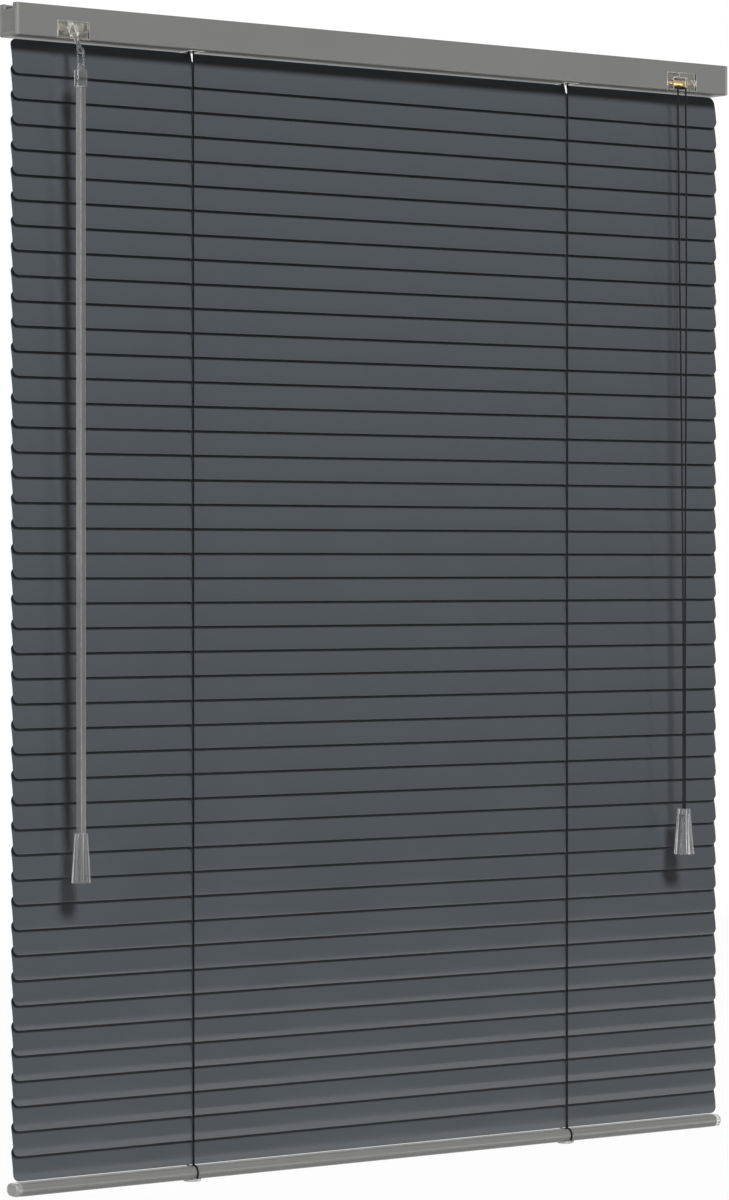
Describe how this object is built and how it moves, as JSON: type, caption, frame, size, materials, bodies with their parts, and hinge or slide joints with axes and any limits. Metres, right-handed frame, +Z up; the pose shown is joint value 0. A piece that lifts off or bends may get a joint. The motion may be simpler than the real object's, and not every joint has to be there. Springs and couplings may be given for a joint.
{
  "type": "aluminium venetian blind",
  "caption": "Venetian blind: curved metal slats on cord ladders under a channel headrail, with a worm tilter and clear wand, a cord lock with pull cords and tassel, and an oval bottom rail.",
  "frame": {"origin": "centre of the headrail's back face, which lies against the wall brackets", "axes": "+X to the right seen from the room, +Y out of the headrail's back towards the wall, +Z up"},
  "size_m": [0.795, 0.0483, 1.0194],
  "materials": {
    "headrail_paint": "silver grey satin paint on rolled steel",
    "grey_plastic": "grey moulded end caps and clear drum cradles",
    "clear_plastic": "clear moulded plastic",
    "clear_acrylic": "clear polished acrylic",
    "steel": "plain steel rod with moulded drums",
    "brass": "turned brass",
    "black_cord": "braided polyester",
    "dark_cord": "braided polyester",
    "slat_paint": "anthracite satin stove enamel on aluminium"
  },
  "bodies": {
    "frame": {"headrail": "headrail_paint", "headrail_fittings": "grey_plastic", "tilter_case": "clear_plastic", "cord_lock_case": "clear_plastic", "lift_cords": "dark_cord", "cord_tassel": "clear_acrylic", "bottom_rail": "headrail_paint", "bottom_rail_fittings": "clear_plastic"},
    "tilt_shaft": {"tilt_shaft": "steel"},
    "tilter_worm": {"tilter_worm": "clear_plastic"},
    "wand": {"wand_link": "clear_plastic", "wand": "clear_acrylic"},
    "lock_roller": {"cord_lock_roller": "brass"},
    "front_ladder": {"front_ladder_cords": "black_cord"},
    "back_ladder": {"back_ladder_cords": "black_cord"},
    "slat_01": {"slat_01": "slat_paint"},
    "slat_02": {"slat_02": "slat_paint"},
    "slat_03": {"slat_03": "slat_paint"},
    "slat_04": {"slat_04": "slat_paint"},
    "slat_05": {"slat_05": "slat_paint"},
    "slat_06": {"slat_06": "slat_paint"},
    "slat_07": {"slat_07": "slat_paint"},
    "slat_08": {"slat_08": "slat_paint"},
    "slat_09": {"slat_09": "slat_paint"},
    "slat_10": {"slat_10": "slat_paint"},
    "slat_11": {"slat_11": "slat_paint"},
    "slat_12": {"slat_12": "slat_paint"},
    "slat_13": {"slat_13": "slat_paint"},
    "slat_14": {"slat_14": "slat_paint"},
    "slat_15": {"slat_15": "slat_paint"},
    "slat_16": {"slat_16": "slat_paint"},
    "slat_17": {"slat_17": "slat_paint"},
    "slat_18": {"slat_18": "slat_paint"},
    "slat_19": {"slat_19": "slat_paint"},
    "slat_20": {"slat_20": "slat_paint"},
    "slat_21": {"slat_21": "slat_paint"},
    "slat_22": {"slat_22": "slat_paint"},
    "slat_23": {"slat_23": "slat_paint"},
    "slat_24": {"slat_24": "slat_paint"},
    "slat_25": {"slat_25": "slat_paint"},
    "slat_26": {"slat_26": "slat_paint"},
    "slat_27": {"slat_27": "slat_paint"},
    "slat_28": {"slat_28": "slat_paint"},
    "slat_29": {"slat_29": "slat_paint"},
    "slat_30": {"slat_30": "slat_paint"},
    "slat_31": {"slat_31": "slat_paint"},
    "slat_32": {"slat_32": "slat_paint"},
    "slat_33": {"slat_33": "slat_paint"},
    "slat_34": {"slat_34": "slat_paint"},
    "slat_35": {"slat_35": "slat_paint"},
    "slat_36": {"slat_36": "slat_paint"},
    "slat_37": {"slat_37": "slat_paint"},
    "slat_38": {"slat_38": "slat_paint"},
    "slat_39": {"slat_39": "slat_paint"},
    "slat_40": {"slat_40": "slat_paint"},
    "slat_41": {"slat_41": "slat_paint"},
    "slat_42": {"slat_42": "slat_paint"},
    "slat_43": {"slat_43": "slat_paint"},
    "slat_44": {"slat_44": "slat_paint"},
    "slat_45": {"slat_45": "slat_paint"}
  },
  "joints": [
    {"name": "tilt", "type": "hinge", "parent": "frame", "child": "tilt_shaft", "pos_m": [0, -0.0135, -0.002], "axis": [-1, 0, 0], "range_deg": [0, 145]},
    {"name": "worm_turn", "type": "hinge", "parent": "frame", "child": "tilter_worm", "pos_m": [-0.3405, -0.01981, 0.00242], "axis": [0, -0.5736, -0.8192], "range_deg": [0, 2610]},
    {"name": "wand_turn", "type": "hinge", "parent": "frame", "child": "wand", "pos_m": [-0.3405, -0.03856, -0.02437], "axis": [0, 0, -1], "range_deg": [0, 2610]},
    {"name": "roller_slide", "type": "slide", "parent": "frame", "child": "lock_roller", "axis": [0, 0.5, 0.866], "range_m": [0, 0.003]},
    {"name": "front_ladder_hang", "type": "hinge", "parent": "tilt_shaft", "child": "front_ladder", "pos_m": [0, -0.01624, -0.01878], "axis": [-1, 0, 0], "range_deg": [-145, 0], "deforming": ["front_ladder_cords"]},
    {"name": "back_ladder_hang", "type": "hinge", "parent": "tilt_shaft", "child": "back_ladder", "pos_m": [0, -0.00879, 0.01433], "axis": [-1, 0, 0], "range_deg": [-145, 0], "deforming": ["back_ladder_cords"]},
    {"name": "slat_01_tilt", "type": "hinge", "parent": "frame", "child": "slat_01", "pos_m": [0, -0.0135, -0.0297], "axis": [-1, 0, 0], "range_deg": [0, 145]},
    {"name": "slat_02_tilt", "type": "hinge", "parent": "frame", "child": "slat_02", "pos_m": [0, -0.0135, -0.0512], "axis": [-1, 0, 0], "range_deg": [0, 145]},
    {"name": "slat_03_tilt", "type": "hinge", "parent": "frame", "child": "slat_03", "pos_m": [0, -0.0135, -0.0727], "axis": [-1, 0, 0], "range_deg": [0, 145]},
    {"name": "slat_04_tilt", "type": "hinge", "parent": "frame", "child": "slat_04", "pos_m": [0, -0.0135, -0.0942], "axis": [-1, 0, 0], "range_deg": [0, 145]},
    {"name": "slat_05_tilt", "type": "hinge", "parent": "frame", "child": "slat_05", "pos_m": [0, -0.0135, -0.1157], "axis": [-1, 0, 0], "range_deg": [0, 145]},
    {"name": "slat_06_tilt", "type": "hinge", "parent": "frame", "child": "slat_06", "pos_m": [0, -0.0135, -0.1372], "axis": [-1, 0, 0], "range_deg": [0, 145]},
    {"name": "slat_07_tilt", "type": "hinge", "parent": "frame", "child": "slat_07", "pos_m": [0, -0.0135, -0.1587], "axis": [-1, 0, 0], "range_deg": [0, 145]},
    {"name": "slat_08_tilt", "type": "hinge", "parent": "frame", "child": "slat_08", "pos_m": [0, -0.0135, -0.1802], "axis": [-1, 0, 0], "range_deg": [0, 145]},
    {"name": "slat_09_tilt", "type": "hinge", "parent": "frame", "child": "slat_09", "pos_m": [0, -0.0135, -0.2017], "axis": [-1, 0, 0], "range_deg": [0, 145]},
    {"name": "slat_10_tilt", "type": "hinge", "parent": "frame", "child": "slat_10", "pos_m": [0, -0.0135, -0.2232], "axis": [-1, 0, 0], "range_deg": [0, 145]},
    {"name": "slat_11_tilt", "type": "hinge", "parent": "frame", "child": "slat_11", "pos_m": [0, -0.0135, -0.2447], "axis": [-1, 0, 0], "range_deg": [0, 145]},
    {"name": "slat_12_tilt", "type": "hinge", "parent": "frame", "child": "slat_12", "pos_m": [0, -0.0135, -0.2662], "axis": [-1, 0, 0], "range_deg": [0, 145]},
    {"name": "slat_13_tilt", "type": "hinge", "parent": "frame", "child": "slat_13", "pos_m": [0, -0.0135, -0.2877], "axis": [-1, 0, 0], "range_deg": [0, 145]},
    {"name": "slat_14_tilt", "type": "hinge", "parent": "frame", "child": "slat_14", "pos_m": [0, -0.0135, -0.3092], "axis": [-1, 0, 0], "range_deg": [0, 145]},
    {"name": "slat_15_tilt", "type": "hinge", "parent": "frame", "child": "slat_15", "pos_m": [0, -0.0135, -0.3307], "axis": [-1, 0, 0], "range_deg": [0, 145]},
    {"name": "slat_16_tilt", "type": "hinge", "parent": "frame", "child": "slat_16", "pos_m": [0, -0.0135, -0.3522], "axis": [-1, 0, 0], "range_deg": [0, 145]},
    {"name": "slat_17_tilt", "type": "hinge", "parent": "frame", "child": "slat_17", "pos_m": [0, -0.0135, -0.3737], "axis": [-1, 0, 0], "range_deg": [0, 145]},
    {"name": "slat_18_tilt", "type": "hinge", "parent": "frame", "child": "slat_18", "pos_m": [0, -0.0135, -0.3952], "axis": [-1, 0, 0], "range_deg": [0, 145]},
    {"name": "slat_19_tilt", "type": "hinge", "parent": "frame", "child": "slat_19", "pos_m": [0, -0.0135, -0.4167], "axis": [-1, 0, 0], "range_deg": [0, 145]},
    {"name": "slat_20_tilt", "type": "hinge", "parent": "frame", "child": "slat_20", "pos_m": [0, -0.0135, -0.4382], "axis": [-1, 0, 0], "range_deg": [0, 145]},
    {"name": "slat_21_tilt", "type": "hinge", "parent": "frame", "child": "slat_21", "pos_m": [0, -0.0135, -0.4597], "axis": [-1, 0, 0], "range_deg": [0, 145]},
    {"name": "slat_22_tilt", "type": "hinge", "parent": "frame", "child": "slat_22", "pos_m": [0, -0.0135, -0.4812], "axis": [-1, 0, 0], "range_deg": [0, 145]},
    {"name": "slat_23_tilt", "type": "hinge", "parent": "frame", "child": "slat_23", "pos_m": [0, -0.0135, -0.5027], "axis": [-1, 0, 0], "range_deg": [0, 145]},
    {"name": "slat_24_tilt", "type": "hinge", "parent": "frame", "child": "slat_24", "pos_m": [0, -0.0135, -0.5242], "axis": [-1, 0, 0], "range_deg": [0, 145]},
    {"name": "slat_25_tilt", "type": "hinge", "parent": "frame", "child": "slat_25", "pos_m": [0, -0.0135, -0.5457], "axis": [-1, 0, 0], "range_deg": [0, 145]},
    {"name": "slat_26_tilt", "type": "hinge", "parent": "frame", "child": "slat_26", "pos_m": [0, -0.0135, -0.5672], "axis": [-1, 0, 0], "range_deg": [0, 145]},
    {"name": "slat_27_tilt", "type": "hinge", "parent": "frame", "child": "slat_27", "pos_m": [0, -0.0135, -0.5887], "axis": [-1, 0, 0], "range_deg": [0, 145]},
    {"name": "slat_28_tilt", "type": "hinge", "parent": "frame", "child": "slat_28", "pos_m": [0, -0.0135, -0.6102], "axis": [-1, 0, 0], "range_deg": [0, 145]},
    {"name": "slat_29_tilt", "type": "hinge", "parent": "frame", "child": "slat_29", "pos_m": [0, -0.0135, -0.6317], "axis": [-1, 0, 0], "range_deg": [0, 145]},
    {"name": "slat_30_tilt", "type": "hinge", "parent": "frame", "child": "slat_30", "pos_m": [0, -0.0135, -0.6532], "axis": [-1, 0, 0], "range_deg": [0, 145]},
    {"name": "slat_31_tilt", "type": "hinge", "parent": "frame", "child": "slat_31", "pos_m": [0, -0.0135, -0.6747], "axis": [-1, 0, 0], "range_deg": [0, 145]},
    {"name": "slat_32_tilt", "type": "hinge", "parent": "frame", "child": "slat_32", "pos_m": [0, -0.0135, -0.6962], "axis": [-1, 0, 0], "range_deg": [0, 145]},
    {"name": "slat_33_tilt", "type": "hinge", "parent": "frame", "child": "slat_33", "pos_m": [0, -0.0135, -0.7177], "axis": [-1, 0, 0], "range_deg": [0, 145]},
    {"name": "slat_34_tilt", "type": "hinge", "parent": "frame", "child": "slat_34", "pos_m": [0, -0.0135, -0.7392], "axis": [-1, 0, 0], "range_deg": [0, 145]},
    {"name": "slat_35_tilt", "type": "hinge", "parent": "frame", "child": "slat_35", "pos_m": [0, -0.0135, -0.7607], "axis": [-1, 0, 0], "range_deg": [0, 145]},
    {"name": "slat_36_tilt", "type": "hinge", "parent": "frame", "child": "slat_36", "pos_m": [0, -0.0135, -0.7822], "axis": [-1, 0, 0], "range_deg": [0, 145]},
    {"name": "slat_37_tilt", "type": "hinge", "parent": "frame", "child": "slat_37", "pos_m": [0, -0.0135, -0.8037], "axis": [-1, 0, 0], "range_deg": [0, 145]},
    {"name": "slat_38_tilt", "type": "hinge", "parent": "frame", "child": "slat_38", "pos_m": [0, -0.0135, -0.8252], "axis": [-1, 0, 0], "range_deg": [0, 145]},
    {"name": "slat_39_tilt", "type": "hinge", "parent": "frame", "child": "slat_39", "pos_m": [0, -0.0135, -0.8467], "axis": [-1, 0, 0], "range_deg": [0, 145]},
    {"name": "slat_40_tilt", "type": "hinge", "parent": "frame", "child": "slat_40", "pos_m": [0, -0.0135, -0.8682], "axis": [-1, 0, 0], "range_deg": [0, 145]},
    {"name": "slat_41_tilt", "type": "hinge", "parent": "frame", "child": "slat_41", "pos_m": [0, -0.0135, -0.8897], "axis": [-1, 0, 0], "range_deg": [0, 145]},
    {"name": "slat_42_tilt", "type": "hinge", "parent": "frame", "child": "slat_42", "pos_m": [0, -0.0135, -0.9112], "axis": [-1, 0, 0], "range_deg": [0, 145]},
    {"name": "slat_43_tilt", "type": "hinge", "parent": "frame", "child": "slat_43", "pos_m": [0, -0.0135, -0.9327], "axis": [-1, 0, 0], "range_deg": [0, 145]},
    {"name": "slat_44_tilt", "type": "hinge", "parent": "frame", "child": "slat_44", "pos_m": [0, -0.0135, -0.9542], "axis": [-1, 0, 0], "range_deg": [0, 145]},
    {"name": "slat_45_tilt", "type": "hinge", "parent": "frame", "child": "slat_45", "pos_m": [0, -0.0135, -0.9757], "axis": [-1, 0, 0], "range_deg": [0, 145]}
  ],
  "couplings": [
    {"joint": "worm_turn", "follows": "tilt", "ratio": 18},
    {"joint": "wand_turn", "follows": "tilt", "ratio": 18},
    {"joint": "front_ladder_hang", "follows": "tilt", "ratio": -1},
    {"joint": "back_ladder_hang", "follows": "tilt", "ratio": -1},
    {"joint": "slat_01_tilt", "follows": "tilt", "ratio": 1},
    {"joint": "slat_02_tilt", "follows": "tilt", "ratio": 1},
    {"joint": "slat_03_tilt", "follows": "tilt", "ratio": 1},
    {"joint": "slat_04_tilt", "follows": "tilt", "ratio": 1},
    {"joint": "slat_05_tilt", "follows": "tilt", "ratio": 1},
    {"joint": "slat_06_tilt", "follows": "tilt", "ratio": 1},
    {"joint": "slat_07_tilt", "follows": "tilt", "ratio": 1},
    {"joint": "slat_08_tilt", "follows": "tilt", "ratio": 1},
    {"joint": "slat_09_tilt", "follows": "tilt", "ratio": 1},
    {"joint": "slat_10_tilt", "follows": "tilt", "ratio": 1},
    {"joint": "slat_11_tilt", "follows": "tilt", "ratio": 1},
    {"joint": "slat_12_tilt", "follows": "tilt", "ratio": 1},
    {"joint": "slat_13_tilt", "follows": "tilt", "ratio": 1},
    {"joint": "slat_14_tilt", "follows": "tilt", "ratio": 1},
    {"joint": "slat_15_tilt", "follows": "tilt", "ratio": 1},
    {"joint": "slat_16_tilt", "follows": "tilt", "ratio": 1},
    {"joint": "slat_17_tilt", "follows": "tilt", "ratio": 1},
    {"joint": "slat_18_tilt", "follows": "tilt", "ratio": 1},
    {"joint": "slat_19_tilt", "follows": "tilt", "ratio": 1},
    {"joint": "slat_20_tilt", "follows": "tilt", "ratio": 1},
    {"joint": "slat_21_tilt", "follows": "tilt", "ratio": 1},
    {"joint": "slat_22_tilt", "follows": "tilt", "ratio": 1},
    {"joint": "slat_23_tilt", "follows": "tilt", "ratio": 1},
    {"joint": "slat_24_tilt", "follows": "tilt", "ratio": 1},
    {"joint": "slat_25_tilt", "follows": "tilt", "ratio": 1},
    {"joint": "slat_26_tilt", "follows": "tilt", "ratio": 1},
    {"joint": "slat_27_tilt", "follows": "tilt", "ratio": 1},
    {"joint": "slat_28_tilt", "follows": "tilt", "ratio": 1},
    {"joint": "slat_29_tilt", "follows": "tilt", "ratio": 1},
    {"joint": "slat_30_tilt", "follows": "tilt", "ratio": 1},
    {"joint": "slat_31_tilt", "follows": "tilt", "ratio": 1},
    {"joint": "slat_32_tilt", "follows": "tilt", "ratio": 1},
    {"joint": "slat_33_tilt", "follows": "tilt", "ratio": 1},
    {"joint": "slat_34_tilt", "follows": "tilt", "ratio": 1},
    {"joint": "slat_35_tilt", "follows": "tilt", "ratio": 1},
    {"joint": "slat_36_tilt", "follows": "tilt", "ratio": 1},
    {"joint": "slat_37_tilt", "follows": "tilt", "ratio": 1},
    {"joint": "slat_38_tilt", "follows": "tilt", "ratio": 1},
    {"joint": "slat_39_tilt", "follows": "tilt", "ratio": 1},
    {"joint": "slat_40_tilt", "follows": "tilt", "ratio": 1},
    {"joint": "slat_41_tilt", "follows": "tilt", "ratio": 1},
    {"joint": "slat_42_tilt", "follows": "tilt", "ratio": 1},
    {"joint": "slat_43_tilt", "follows": "tilt", "ratio": 1},
    {"joint": "slat_44_tilt", "follows": "tilt", "ratio": 1},
    {"joint": "slat_45_tilt", "follows": "tilt", "ratio": 1}
  ]
}
